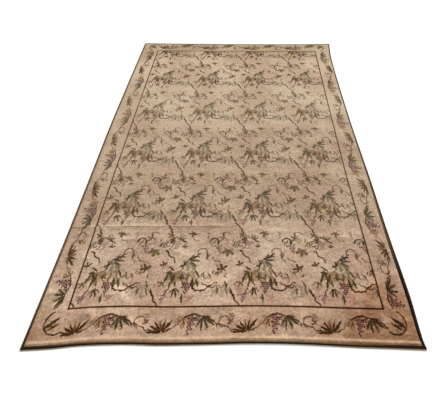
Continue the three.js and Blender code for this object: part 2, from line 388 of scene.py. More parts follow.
# Section of a binding: how far in from its outer edge, as a share of its width, and how high
# above the backing, as a share of its height
BINDING_SECTION = np.array([
    (0.07, 0.0), (0.5, 0.0), (0.97, 0.0), (1.0, 0.2), (1.0, 0.66), (0.8, 0.92), (0.48, 1.0),
    (0.18, 0.84), (0.0, 0.42),
])
SECTION_POINTS = 18
STATION_STEP = 1.5

# The wraps of a binding: how many pitches they lean over across it and up it, the height of
# their ridges that leaves the section as it is, how far they swell it, and how far from an end
# they are full
WRAP_LEAN = (0.9, 0.5)
WRAP_MIDDLE = 0.6
WRAP_SWELL = 0.4
WRAP_END = 6

# The end caps of a binding on its map for baking
CAP_RADIUS = 0.008
CAP_MIDDLES = np.array([(0.4, 0.99), (0.6, 0.99)])


def smooth_section():
    """The binding's section as a closed Catmull-Rom curve through its points."""
    t = np.linspace(0, len(BINDING_SECTION), SECTION_POINTS, endpoint=False)
    i, f = t.astype(int), (t % 1)[:, None]
    p = [BINDING_SECTION[(i + k) % len(BINDING_SECTION)] for k in (-1, 0, 1, 2)]
    curve = 0.5 * (
        2 * p[1] + (p[2] - p[0]) * f + (2 * p[0] - 5 * p[1] + 4 * p[2] - p[3]) * f**2
        + (3 * p[1] - p[0] - 3 * p[2] + p[3]) * f**3
    )
    return curve[:, 0].clip(0, 1), curve[:, 1].clip(0, 1)


def binding(name, sizes, place, stations, material):
    """A binding: its section carried along its stations, and swollen and pinched in turn by
    the slanting wraps of the wool that oversews it. The wraps' height is a row of round
    ridges, the square root of |sin|, one for each pitch along the strip, that lean one pitch
    over as they cross it. `place` turns a station and a share of the width into the cut."""
    inward, up = smooth_section()
    inward, up = inward[None, :], up[None, :]
    along = stations[:, None]
    turns = along / (sizes.wrap_pitch / MM) + inward * WRAP_LEAN[0] + up * WRAP_LEAN[1]
    ridge = np.sqrt(np.abs(np.sin(math.pi * turns))) - WRAP_MIDDLE
    ends = eased(np.minimum(along - stations[0], stations[-1] - along), 0, WRAP_END)
    swell = ridge * WRAP_SWELL * up**0.5 * ends
    x, y = place(along, inward)
    x, y = np.broadcast_arrays(x, y)
    z = UPPER_FLOOR + up * sizes.binding_height / MM + swell * (up - 0.25)
    push = (inward - 0.5) * 2 * swell
    nudge_x, nudge_y = place(along, inward + 0.01)
    run = np.hypot(nudge_x - x, nudge_y - y)
    x = x + push * (nudge_x - x) / run
    y = y + push * (nudge_y - y) / run
    points = placed(x, y, z)
    rows, columns = points.shape[:2]
    ring = np.arange(columns)
    start = np.arange(rows - 1)[:, None] * columns
    a, b = start + ring, start + np.roll(ring, -1)
    sides = np.stack([a, b, b + columns, a + columns], -1).reshape(-1, 4)
    share_a = np.stack(np.broadcast_arrays(ring / columns, (start // columns) / (rows - 1)), -1)
    wide, tall = 1 / columns, 1 / (rows - 1)
    corners = np.stack([share_a + way for way in ((0, 0), (wide, 0), (wide, tall), (0, tall))], 2)
    corners = corners.reshape(-1, 4, 2) * 0.96 + 0.02
    mesh_points = np.concatenate([points.reshape(-1, 3), points[[0, -1]].mean(1)])
    hub = rows * columns
    first, last = ring, (rows - 1) * columns + ring
    caps = np.concatenate([
        np.stack([np.roll(first, -1), first, np.full(columns, hub)], -1),
        np.stack([last, np.roll(last, -1), np.full(columns, hub + 1)], -1),
    ])
    angle = math.tau * ring / columns
    around = np.stack([np.cos(angle), np.sin(angle)], -1) * CAP_RADIUS
    next_round = np.roll(around, -1, 0)
    cap_places = [
        np.stack([one + middle, other + middle, np.broadcast_to(middle, one.shape)], 1)
        for one, other, middle in zip((next_round, around), (around, next_round), CAP_MIDDLES)
    ]
    bake = np.concatenate([corners.reshape(-1, 2)] + [c.reshape(-1, 2) for c in cap_places])
    maps = [("OFBake", bake), ("Round the wool", bake)]
    piece = new_piece(name, mesh_points, sides.tolist() + caps.tolist(), material, maps)
    return outward(piece)


def outward(piece):
    """Turns a closed piece's faces round if its signed volume is negative."""
    mesh = piece.data
    mesh.calc_loop_triangles()
    corners = np.zeros(len(mesh.loop_triangles) * 3, np.int32)
    mesh.loop_triangles.foreach_get("vertices", corners)
    points = np.zeros(len(mesh.vertices) * 3, np.float32)
    mesh.vertices.foreach_get("co", points)
    a, b, c = points.reshape(-1, 3)[corners.reshape(-1, 3)].transpose(1, 0, 2)
    if np.einsum("ij,ij->i", a, np.cross(b, c)).sum() < 0:
        mesh.flip_normals()
    return piece


def side_binding(name, sizes, way, material):
    """A long binding, mitred at both ends on the line from the outer corner to the inner one.
    Way is -1 for the left side and 1 for the right."""
    column = "left_binding" if way < 0 else "right_binding"
    stations = np.arange(FRONT_OF_BINDING, HALF_LENGTH + STATION_STEP / 2, STATION_STEP)

    def place(along, inward):
        y = np.clip(
            along,
            FRONT_OF_BINDING + inward * END_BINDING_WIDTH + PIECE_GAP,
            HALF_LENGTH - inward * END_BINDING_WIDTH - PIECE_GAP,
        )
        width = table_value(SIDE_EDGES, column, y)
        return way * (HALF_WIDTH - inward * width), y

    return binding(name, sizes, place, stations, material)


def end_binding(name, sizes, outer_y, way, material):
    """An end binding, mitred to meet the long ones. Way is 1 where the rug lies behind its
    outer edge and -1 where it lies in front."""
    inner_y = outer_y + way * END_BINDING_WIDTH
    left = table_value(SIDE_EDGES, "left_binding", inner_y)
    right = table_value(SIDE_EDGES, "right_binding", inner_y)
    stations = np.arange(-HALF_WIDTH, HALF_WIDTH + STATION_STEP / 2, STATION_STEP)

    def place(along, inward):
        low = -HALF_WIDTH + inward * left + PIECE_GAP
        high = HALF_WIDTH - inward * right - PIECE_GAP
        return np.clip(along, low, high), outer_y + way * inward * END_BINDING_WIDTH

    return binding(name, sizes, place, stations, material)


# ---- The worked pattern

# The guard line between field and border, on the floor at the sides and in the cut at the ends
GuardSide = namedtuple("GuardSide", "along left right")
GUARD_SIDES = [
    GuardSide(-1372.5, -762, 768), GuardSide(-900, -766, 762), GuardSide(-300, -771, 750),
    GuardSide(400, -770, 748), GuardSide(1372.5, -765, 750),
]
HEM_LINE = -1337           # where a pale highlight is painted along the fold of the front hem
CREASE_LINE = -733         # where shade is painted in a line along the crease across the rug, on its left

# How far from each line, in metres, its colour sets in and where it is full
GUARD_SPREAD = (0.0056, 0.0036)
CREASE_SPREAD = (0.008, 0.001)
HEM_SPREAD = (0.009, 0.002)

# Where soil and painted shade set in and where they are full, in metres: towards the front, towards
# the sides from a line that is shifted to the left, and for the painted shade in the crease,
# towards the left
FRONT_SOIL_AND_SHADE = (-0.75, -1.38)
SIDE_SOIL_AND_SHADE = (0.52, 1.02)
SOIL_AND_SHADE_SHIFT = 0.18
CREASE_LEFT = (0.1, -0.2)

GUARD_FRONT = -1192
GUARD_BACK = 1235


def guard_line(side, y):
    """Where the guard line of one side stands."""
    return table_value(GUARD_SIDES, side, y)


# The field repeats a sprig of vine. This is the foot of one pale leaf and the repeat's size.
FIELD_START = (-210, -991)
FIELD_REPEAT = (402.5, 449)

# The border runs anticlockwise. Each unit starts at the stalk of a fingered leaf.
BORDER_REPEAT = 400.5
BORDER_SIDE_START = {"left": -12, "right": 34}
BORDER_END_START = 103.3
BORDER_SIDE_SQUEEZE = BORDER_REPEAT / FIELD_REPEAT[1]
# How far outside the guard line the units' stalks stand, on each side
BORDER_STALK = {"left": 98, "right": 103, "front": 117, "back": 108}
BORDER_SIDE_CROWD = 1.22   # how much closer the motifs stand across the sides than on the ends

# By the share of the length from the front end: the tint of the whole face, partly fading and
# partly painted shade that darkens the middle of the length, and how much of the pattern has held
# against the ground
FADING_AND_SHADE = [
    (0.04, "#e6e2e4", 1),
    (0.09, "#f0f2f9", 1),
    (0.16, "#e7e8ef", 0.97),
    (0.29, "#dadcdf", 0.87),
    (0.45, "#dcdee1", 0.84),
    (0.65, "#ecf4f8", 0.82),
    (0.85, "#eff5f9", 1),
    (0.97, "#e0e4e4", 0.95),
]

# Leaves: the stalk's place, the turn from pointing away from the viewer in degrees
# anticlockwise, the reach of the middle lobe, the wool, the form and how fully it is worked
Leaf = namedtuple("Leaf", "x y turn size wool form fullness")
# Bunches of grapes: the place of the stalk, the turn from hanging straight down, the size
Bunch = namedtuple("Bunch", "x y turn wide long wool fullness")
# Stems between two points, bowed to one side by `bow` and rippled by `ripple`
Stem = namedtuple("Stem", "x y to_x to_y bow ripple width wool fullness")
# Tendrils: part of a ring, `span` degrees to either side of the way that `turn` faces
Tendril = namedtuple("Tendril", "x y ring turn span width wool fullness")

# Half the angle between two lobes in degrees, how deep the gaps between lobes go, how sharply
# they narrow, and how fast the lobes shorten away from the middle one
LeafForm = namedtuple("LeafForm", "half_lobe depth sharp shorten")
LEAF_FORMS = {
    "broad": LeafForm(27.5, 0.45, 1.6, 0.032),
    "sprig": LeafForm(36.0, 0.74, 1.4, 0.012),
    "blade": LeafForm(180.0, 6.2, 1.0, 0.0),
    "finger": LeafForm(180.0, 8.2, 1.0, 0.0),
}

PALE_ROW = (1.13, 1.12, 1.10, 1)   # how much lighter the row of stitches round a leaf is
GRAPE_PITCH = 12


def motif_rows(text):
    """The motifs of a table, a line for each: its kind, then its columns in their order above."""
    kinds = {kind.__name__: kind for kind in (Leaf, Bunch, Stem, Tendril)}
    rows = [line.split() for line in text.strip().splitlines()]
    return [
        kinds[kind](*(cell if cell.isalpha() else float(cell) for cell in cells))
        for kind, *cells in rows
    ]


FIELD_MOTIFS = motif_rows("""
Stem -131 104 -66 35 3 5 10 bark 1
Leaf -126 20 20 27 umber sprig 1
Leaf -84 -6 150 46 olive finger 1
Leaf -102 12 236 48 umber blade 1
Leaf -70 -26 186 64 olive broad 0.65
Leaf -94 -30 158 64 olive finger 1
Leaf -82 -22 188 58 olive blade 1
Leaf -78 -64 172 48 olive blade 1
Leaf -62 -24 172 56 umber blade 1
Leaf -60 -66 196 38 olive blade 1
Leaf -74 -20 90 40 olive blade 1
Leaf -66 -18 118 52 olive blade 1
Leaf -4 -26 180 76 tan broad 0.6
Leaf -26 -18 196 48 olive blade 0.8
Stem -44 -52 8 -72 8 3 7 umber 0.8
Stem -32 -30 -6 -88 -7 3 7 olive 0.8
Leaf 12 -24 168 50 umber blade 0.8
Bunch -44 -16 -8 42 50 tan 0.5
Leaf 2 36 178 56 sage broad 1
Leaf 24 -2 200 64 sage blade 1
Leaf 38 -4 212 60 green blade 1
Stem -24 40 -34 -16 7 2 8.5 olive 1
Stem -38 12 -4 52 -9 2 8.5 bark 1
Leaf -4 50 -96 74 green finger 1
Leaf 2 54 -72 66 green finger 1
Leaf 8 58 -44 44 moss finger 0.9
Leaf 2 42 -120 62 green finger 1
Leaf 12 30 -148 40 moss finger 0.9
Stem 0 50 62 92 -7 3 8.5 green 1
Stem 14 66 60 66 6 3 7 moss 0.9
Leaf 34 14 -170 24 green blade 1
Leaf 44 4 120 26 green blade 1
Tendril 72 94 25 12 105 8 bark 0.85
Stem 98 92 112 70 -3 0 8.5 rust 1
Leaf 98 92 176 42 rust blade 0.95
Leaf 112 84 150 36 rust blade 0.85
Bunch 108 100 10 20 36 amber 0.5
Stem 92 66 118 30 4 4 7 rust 0.7
Stem 124 66 176 38 -7 3 8 bark 0.75
Leaf 184 -4 20 36 umber sprig 1
Leaf 182 12 176 40 umber blade 1
Leaf 140 -8 165 26 umber blade 1
Leaf 148 24 215 30 umber blade 1
Leaf 157 -22 200 22 moss sprig 1
Leaf 203 -28 176 28 umber blade 1
Leaf 206 -44 110 20 umber blade 0.9
Leaf 88 -18 150 36 moss finger 1
Leaf 88 -18 182 38 moss finger 1
Leaf 108 -24 215 36 umber blade 1
Tendril 76 -62 20 40 120 7 rust 0.75
Tendril 112 -66 16 -60 120 6.5 rust 0.6
Leaf 30 -46 186 76 olive blade 1
Leaf 48 -56 200 56 olive blade 1
Leaf 58 -62 150 44 green blade 0.9
Stem 32 -108 84 -124 -3 3 11 bark 1
Stem 80 -124 122 -102 -3 2 10.5 bark 1
Stem 120 -106 78 -78 0 3 9 bark 1
Stem 114 -106 164 -78 5 3 9.5 bark 1
Stem 122 -106 158 -95 -3 2 10 bark 0.9
Bunch 8 -76 -2 52 74 plum 1
Leaf -56 -106 142 42 umber finger 1
Leaf -56 -106 170 54 umber finger 1
Leaf -54 -104 196 56 olive finger 1
Leaf -52 -104 226 42 umber finger 1
Bunch 28 -144 4 40 42 rose 0.65
Leaf -12 -134 182 56 green blade 1
Leaf -10 -148 140 26 green blade 1
Bunch -106 -140 -4 42 48 mauve 1
Stem -86 -108 -106 -146 0 2 9 umber 0.85
Bunch -128 -96 -12 44 52 amber 0.6
Leaf -124 -80 150 26 moss sprig 1
Leaf -146 -84 120 26 umber blade 0.7
Leaf 136 -112 180 44 sage broad 0.65
Leaf 184 -98 182 64 sage broad 0.7
Leaf 158 -94 186 46 green finger 0.9
Leaf 172 -104 160 50 green finger 0.9
Leaf 196 -68 202 50 umber blade 1
Leaf 225 -104 199 54 umber blade 1
Leaf 208 -98 25 34 moss blade 0.9
Leaf 200 -104 200 50 green finger 0.9
Stem 241 -140 281 -204 -5 3 10 bark 1
Stem 281 -204 294 -247 0 2 11 bark 1
Leaf 290 -247 60 26 umber sprig 1
Leaf 292 -243 197 54 umber blade 1
Leaf 306 -284 60 28 umber sprig 1
Leaf -104 188 -40 20 moss sprig 0.9
Tendril -122 140 25 -20 150 7.5 moss 0.9
Tendril -124 142 12 120 140 8 umber 0.85
Leaf -150 164 150 44 moss blade 1
Leaf -164 184 170 36 moss blade 0.9
Leaf -146 124 60 26 umber blade 0.8
Leaf -64 172 -10 42 moss finger 1
Leaf -64 172 -42 44 moss finger 1
Leaf -60 172 -70 42 olive blade 1
Leaf -60 176 242 54 olive blade 1
Leaf -62 178 60 34 olive blade 0.9
Bunch -72 164 0 44 72 mauve 0.65
Leaf -30 128 0 21 umber sprig 1
Leaf 8 216 170 30 umber sprig 1
Tendril 36 190 24 90 130 7 moss 0.55
Stem 92 224 94 178 3 0 12 moss 0.45
Tendril 132 156 25 -10 105 12 olive 0.95
Leaf 150 174 186 44 olive blade 1
Leaf 140 174 160 36 moss blade 1
Leaf 124 166 168 40 moss blade 0.7
Bunch 154 136 22 38 62 lilac 1
Leaf 212 108 170 44 olive broad 0.9
Leaf 204 100 120 34 moss blade 1
Tendril 200 200 22 60 140 7 moss 0.8
Leaf 180 180 60 30 moss sprig 1
Leaf 178 224 180 34 umber blade 0.9
Bunch 206 176 0 30 40 rose 0.6
Leaf -60 92 200 20 tan sprig 0.4
Leaf 60 150 130 24 tan sprig 0.3
Leaf 150 60 60 24 sage sprig 0.35
Leaf -150 -40 210 24 sage sprig 0.3
""")

# The border's unit: X along the border and Y in towards the field
BORDER_MOTIFS = motif_rows("""
Stem -142 32 -70 2 8 2 8 bark 0.95
Stem -72 4 -2 -4 5 2 8 bark 1
Tendril -104 42 28 60 100 8 rust 0.85
Bunch -70 84 -8 30 56 rust 0.8
Leaf -76 40 40 22 umber sprig 0.9
Leaf 2 2 10 56 tan broad 0.55
Leaf 0 -2 92 78 umber finger 1
Leaf 0 -2 62 70 umber finger 1
Leaf -2 0 36 62 umber finger 1
Leaf 0 0 12 54 rust finger 1
Leaf 2 0 -14 62 umber finger 1
Leaf 4 -2 -38 80 umber finger 1
Leaf 4 -4 -66 48 umber finger 0.9
Stem 26 2 84 34 4 3 6 rust 0.85
Stem 78 36 190 70 26 2 8.5 bark 1
Leaf 102 58 168 52 tan broad 0.6
Leaf 100 58 190 46 umber finger 0.9
Leaf 104 58 156 44 moss finger 0.9
Leaf 196 60 196 60 sage broad 0.7
Leaf 188 70 152 64 green finger 1
Leaf 188 70 178 74 green finger 1
Leaf 190 70 206 72 green finger 1
Leaf 190 70 234 80 green finger 1
Leaf 190 72 260 50 green finger 1
Leaf 186 72 80 50 green finger 1
Leaf 184 72 108 52 olive finger 0.9
Bunch 146 68 -14 48 96 plum 1
Stem 190 70 262 24 9 2 9 bark 1
""")

# A corner's scroll: X and Y are how far it stands outside the two guard lines
CORNER_MOTIFS = motif_rows("""
Tendril 34 61 55 -53 105 11 bark 1
Leaf 74 88 128 50 tan broad 0.5
Leaf 84 88 130 84 olive blade 1
Leaf 64 94 122 56 umber blade 1
Leaf 78 82 100 34 olive blade 1
""")


def to_linear(shade):
    """An sRGB hex colour as linear red, green and blue."""
    parts = [int(shade[i:i + 2], 16) / 255 for i in (1, 3, 5)]
    return tuple(p / 12.92 if p <= 0.04045 else ((p + 0.055) / 1.055) ** 2.4 for p in parts)


def add(tree, kind, *inputs, out=0, **settings):
    """Adds a node with its settings, links or sets its inputs, and returns one output, or all
    of them where out is None. A kind may name its operation after a colon, and one that is
    all capitals is an operation of a Math node. The inputs stand in their order, or in one
    dict by name or number."""
    kind, _, operation = ("Math:" + kind if kind.isupper() else kind).partition(":")
    node = tree.nodes.new("ShaderNode" + kind)
    if operation:
        node.operation = operation
    for name, value in settings.items():
        setattr(node, name, value)
    named = inputs[0] if inputs and isinstance(inputs[0], dict) else dict(enumerate(inputs))
    for key, value in named.items():
        if isinstance(value, bpy.types.NodeSocket):
            tree.links.new(value, node.inputs[key])
        else:
            node.inputs[key].default_value = value
    return node.outputs if out is None else node.outputs[out]


def dyed(colours):
    """Every colour by its name, as a node's input takes it."""
    return {name: (*getattr(colours, name), 1) for name in RugColours.__annotations__}


def new_material(name):
    """An empty material, and the function that adds nodes to it."""
    material = bpy.data.materials.new(name)
    material.use_nodes = True
    material.node_tree.nodes.clear()
    return material, partial(add, material.node_tree)


# Settings that many nodes share: a mix of colours, one that multiplies them, a smooth range and
# a noise over the flat cloth
COLOURS = {"out": 2, "data_type": "RGBA"}
TINT = COLOURS | {"blend_type": "MULTIPLY"}
SMOOTH = {"clamp": False, "interpolation_type": "SMOOTHSTEP"}
FLAT = {"noise_dimensions": "2D"}

MOTIF_INPUTS = [
    ("Worked", "NodeSocketColor"), ("Cloth", "NodeSocketVector"), ("Place", "NodeSocketVector"),
    ("Repeat", "NodeSocketVector"), ("Across", "NodeSocketVector"), ("Ahead", "NodeSocketVector"),
    ("Dark", "NodeSocketColor"), ("Light", "NodeSocketColor"), ("Fullness", "NodeSocketFloat"),
]


def motif_tree(name, extras):
    """A node group for one kind of motif, its inputs, and the cloth's coordinates near the
    motif: the distance from its place, wrapped into one repeat. Across and Ahead are the
    motif's own axes divided by its size. Clamped nodes and ones that turn one kind of value
    into another are worked out late, and with so many motifs the shader then runs out of
    room. So there are none of them here, and it is the mixing that clamps its own share."""
    tree = bpy.data.node_groups.new(name, "ShaderNodeTree")
    for label, kind in MOTIF_INPUTS + [(label, "NodeSocketFloat") for label in extras]:
        tree.interface.new_socket(label, in_out="INPUT", socket_type=kind)
    tree.interface.new_socket("Worked", in_out="OUTPUT", socket_type="NodeSocketColor")
    node = partial(add, tree)
    given = tree.nodes.new("NodeGroupInput").outputs
    away = node("VectorMath:SUBTRACT", given["Cloth"], given["Place"])
    least = node("VectorMath:MULTIPLY", given["Repeat"], (-1, -1, -1))
    near = node("VectorMath:WRAP", away, given["Repeat"], least)
    return tree, node, given, near


def own_parts(node, given, vector):
    """A vector's parts along the motif's own two axes."""
    return [
        node("VectorMath:DOT_PRODUCT", vector, given[axis], out=1)
        for axis in ("Across", "Ahead")
    ]


def close_motif(tree, node, given, worked, inside, wool):
    """Works the motif's wool over what is worked so far, where it is inside the motif."""
    share = node("MINIMUM", inside, given["Fullness"])
    mixed = node("Mix", {0: share, 6: worked, 7: wool}, **COLOURS)
    tree.links.new(mixed, tree.nodes.new("NodeGroupOutput").inputs[0])
    return tree


def leaf_tree():
    """A lobed leaf round its stalk. With a the angle from the middle lobe and p the angle to
    the nearest lobe's line, the outline is (1 - shorten a^4)(1 - depth (p / half)^sharp). The
    wool is dark along each lobe's vein and along the outline, light on one side of the vein
    and dimmer on the other."""
    extras = ["Per size", "Half lobe", "Depth", "Sharp", "Shorten"]
    tree, node, given, near = motif_tree("Vine leaf", extras)
    across, ahead = own_parts(node, given, near)
    angle = node("ARCTAN2", across, ahead)
    square = node("MULTIPLY", angle, angle)
    short = node("MULTIPLY", node("MULTIPLY", square, square), given["Shorten"])
    long = node("SUBTRACT", 1.0, short)
    beside = node("WRAP", angle, given["Half lobe"], node("MULTIPLY", given["Half lobe"], -1.0))
    share = node("DIVIDE", node("ABSOLUTE", beside), given["Half lobe"])
    gap = node("MULTIPLY", node("POWER", share, given["Sharp"]), given["Depth"])
    edge = node("MULTIPLY", long, node("SUBTRACT", 1.0, gap))
    reach = node("MULTIPLY", node("VectorMath:LENGTH", near, out=1), given["Per size"])
    past = node("SUBTRACT", edge, reach)
    inside = node("MULTIPLY", past, 14.0)
    off_vein = node("MULTIPLY", node("SINE", beside), reach)
    from_vein_line = node("MULTIPLY_ADD", off_vein, 9.0, -0.1)
    between = node("MAXIMUM", from_vein_line, node("MULTIPLY_ADD", off_vein, -3.0, 0.1))
    shade = node("MINIMUM", between, node("MULTIPLY", past, 5.5))
    wool = node("Mix", {0: shade, 6: given["Dark"], 7: given["Light"]}, **COLOURS)
    row = node("MULTIPLY_ADD", inside, given["Fullness"], 1.0)
    rowed = node("Mix", {0: row, 6: given["Worked"], 7: PALE_ROW}, **TINT)
    return close_motif(tree, node, given, rowed, inside, wool)


def bunch_tree():
    """A bunch of grapes under its stalk. The grapes stand in rows, every other row half a
    grape along. One is kept whole where its middle lies in a wedge that narrows downwards.
    It is light in its middle and dark at its rim, and a little lighter or darker than the
    next, by the fraction of a large multiple of its place."""
    tree, node, given, near = motif_tree("Grape bunch", [])
    pitch, row = GRAPE_PITCH * MM, 0.87 * GRAPE_PITCH * MM
    phase = node("FRACT", node("VectorMath:DOT_PRODUCT", near, (0, 0.5 / row, 0), out=1))
    odd = node("GREATER_THAN", phase, 0.5)
    shift = node("VectorMath:SCALE", {0: (pitch / 2, 0, 0), 3: odd})
    moved = node("VectorMath:ADD", near, shift)
    cell = node("VectorMath:SNAP", moved, (pitch, row, 1))
    middle = node("VectorMath:ADD", cell, (pitch / 2, row / 2, 0))
    apart = node("VectorMath:DISTANCE", moved, middle, out=1)
    across, ahead = own_parts(node, given, middle)
    aside = node("ABSOLUTE", across)
    in_wedge = node("GREATER_THAN", node("MULTIPLY_ADD", ahead, 0.54, 0.56), aside)
    kept = node("MULTIPLY", in_wedge, node("LESS_THAN", ahead, 0.04))
    inside = node("MULTIPLY", kept, node("MULTIPLY_ADD", apart, -6.4 / pitch, 3.2))
    many = node("MULTIPLY", node("MULTIPLY_ADD", across, 37.0, ahead), 5.3)
    tone = node("FRACT", many)
    deep = node("MULTIPLY_ADD", tone, 0.5, node("MULTIPLY", apart, 1.5 / pitch))
    wool = node("Mix", {0: deep, 6: given["Light"], 7: given["Dark"]}, **COLOURS)
    return close_motif(tree, node, given, given["Worked"], inside, wool)


def stem_tree():
    """A stem from its place to its end, which lies at 1 along its own Across. Its line is a
    bow of 4 b u (1 - u) plus a ripple, sin(11 u), and it thins towards its end."""
    tree, node, given, near = motif_tree("Vine stem", ["Bow", "Ripple", "Width"])
    along, aside = own_parts(node, given, near)
    hump = node("MULTIPLY", node("SUBTRACT", 1.0, along), along)
    bowed = node("MULTIPLY_ADD", hump, given["Bow"], aside)
    wave = node("SINE", node("MULTIPLY", along, 11.0))
    off = node("ABSOLUTE", node("MULTIPLY_ADD", wave, given["Ripple"], bowed))
    half = node("MULTIPLY", node("MULTIPLY_ADD", along, -0.4, 1.3), given["Width"])
    edge = node("DIVIDE", node("SUBTRACT", half, off), given["Width"])
    firm = node("MULTIPLY", edge, 2.0)
    inside = node("MULTIPLY", firm, node("GREATER_THAN", hump, 0.0))
    return close_motif(tree, node, given, given["Worked"], inside, given["Dark"])


def tendril_tree():
    """Part of a ring of radius 1: the points whose distance from 1 is under the width and
    whose angle from the way it faces is under its span."""
    tree, node, given, near = motif_tree("Vine tendril", ["Per size", "Span", "Width"])
    across, ahead = own_parts(node, given, near)
    turned = node("ABSOLUTE", node("ARCTAN2", across, ahead))
    held = node("GREATER_THAN", given["Span"], turned)
    off = node("MULTIPLY_ADD", node("VectorMath:LENGTH", near, out=1), given["Per size"], -1.0)
    past = node("SUBTRACT", given["Width"], node("ABSOLUTE", off))
    firm = node("MULTIPLY", node("DIVIDE", past, given["Width"]), 2.0)
    inside = node("MULTIPLY", firm, held)
    return close_motif(tree, node, given, given["Worked"], inside, given["Dark"])


def axes(turn, wide, long):
    """A motif's axes after an anticlockwise turn, each divided by its size in millimetres."""
    cosine, sine = math.cos(turn), math.sin(turn)
    return {
        "Across": (cosine / (wide * MM), sine / (wide * MM), 0),
        "Ahead": (-sine / (long * MM), cosine / (long * MM), 0),
    }


def own_inputs(motif):
    """The inputs that set a motif's form and the way it faces."""
    if isinstance(motif, Stem):
        run_x, run_y = motif.to_x - motif.x, motif.to_y - motif.y
        length = math.hypot(run_x, run_y)
        return axes(math.atan2(run_y, run_x), length, length) | {
            "Bow": -4 * motif.bow / length, "Ripple": -motif.ripple / length,
            "Width": 0.5 * motif.width / length,
        }
    turn = math.radians(motif.turn)
    if isinstance(motif, Bunch):
        return axes(turn, motif.wide, motif.long)
    if isinstance(motif, Tendril):
        return axes(turn, motif.ring, motif.ring) | {
            "Per size": 1 / (motif.ring * MM), "Span": math.radians(motif.span),
            "Width": 0.5 * motif.width / motif.ring,
        }
    form = LEAF_FORMS[motif.form]
    return axes(turn, motif.size, motif.size) | {
        "Per size": 1 / (motif.size * MM), "Half lobe": math.radians(form.half_lobe),
        "Depth": form.depth, "Sharp": form.sharp, "Shorten": form.shorten,
    }


def work_motifs(node, groups, dyes, motifs, worked, cloth, start, half_repeat):
    """Works every row of a motif table over the ground and returns the pattern."""
    for motif in motifs:
        worked = node("Group", {
            "Worked": worked, "Cloth": cloth, "Repeat": half_repeat, "Fullness": motif.fullness,
            "Place": ((start[0] + motif.x) * MM, (start[1] + motif.y) * MM, 0),
            "Dark": dyes[motif.wool + "_dark"], "Light": dyes[motif.wool + "_light"],
        } | own_inputs(motif), node_tree=groups[type(motif)])
    return worked


def stitch_middle(node, place, drift, stitch):
    """The middle of the stitch that holds each place, once the places have drifted a little."""
    counted = node("VectorMath:SNAP", node("VectorMath:ADD", place, drift), (stitch, stitch, 1))
    return node("VectorMath:ADD", counted, (stitch / 2, stitch / 2, 0))


def border_strip(node, here, past, on_end):
    """Places along the border and in towards the field. It runs anticlockwise: on the sides
    by Y less the start, squeezed, with its sign by side, and on the ends by X less the start,
    with its sign by end."""
    start, stalk, squeeze = BORDER_SIDE_START, BORDER_STALK, BORDER_SIDE_SQUEEZE * MM
    on_right = node("GREATER_THAN", here[0], 0.0)
    on_back = node("GREATER_THAN", here[1], 0.0)
    side_way = node("MULTIPLY_ADD", on_right, 2.0, -1.0)
    side_start = node(
        "MULTIPLY_ADD", on_right, (start["left"] - start["right"]) * squeeze,
        -start["left"] * squeeze,
    )
    side_run = node("MULTIPLY_ADD", here[1], BORDER_SIDE_SQUEEZE, side_start)
    side_along = node("MULTIPLY", side_run, side_way)
    end_way = node("MULTIPLY_ADD", on_back, -2.0, 1.0)
    end_along = node("MULTIPLY_ADD", here[0], end_way, -BORDER_END_START * MM)
    side_stalk, end_stalk = (
        node("MULTIPLY_ADD", on, (stalk[far] - stalk[near]) * MM, stalk[near] * MM)
        for on, near, far in ((on_right, "left", "right"), (on_back, "front", "back"))
    )
    side_in = node("MULTIPLY", node("SUBTRACT", side_stalk, past[0]), BORDER_SIDE_CROWD)
    end_in = node("SUBTRACT", end_stalk, past[1])
    side_strip = node("CombineXYZ", side_along, side_in)
    end_strip = node("CombineXYZ", end_along, end_in)
    return node("Mix", {0: on_end, 4: side_strip, 5: end_strip}, out=1, data_type="VECTOR")


def vine_pattern(node, dyes, ground, cloth, past):
    """The pattern: the field's vine inside the guard lines, the border's outside one of them
    and the corners' scrolls outside two."""
    groups = {Leaf: leaf_tree(), Bunch: bunch_tree(), Stem: stem_tree(), Tendril: tendril_tree()}
    work = partial(work_motifs, node, groups, dyes)
    half_field = (FIELD_REPEAT[0] / 2 * MM, FIELD_REPEAT[1] / 2 * MM, 1)
    field = work(FIELD_MOTIFS, ground, cloth, FIELD_START, half_field)
    split = node("SeparateXYZ", past, out=None)
    here = node("SeparateXYZ", cloth, out=None)
    on_end = node("GREATER_THAN", split[1], 0.0)
    on_side = node("GREATER_THAN", split[0], 0.0)
    strip = border_strip(node, here, split, on_end)
    border = work(BORDER_MOTIFS, ground, strip, (0, 0), (BORDER_REPEAT / 2 * MM, 1, 1))
    corner = work(CORNER_MOTIFS, ground, past, (0, 0), (1, 1, 1))
    in_corner = node("MULTIPLY", on_side, on_end)
    in_border = node("MAXIMUM", on_side, on_end)
    edging = node("Mix", {0: in_corner, 6: border, 7: corner}, **COLOURS)
    return node("Mix", {0: in_border, 6: field, 7: edging}, **COLOURS)


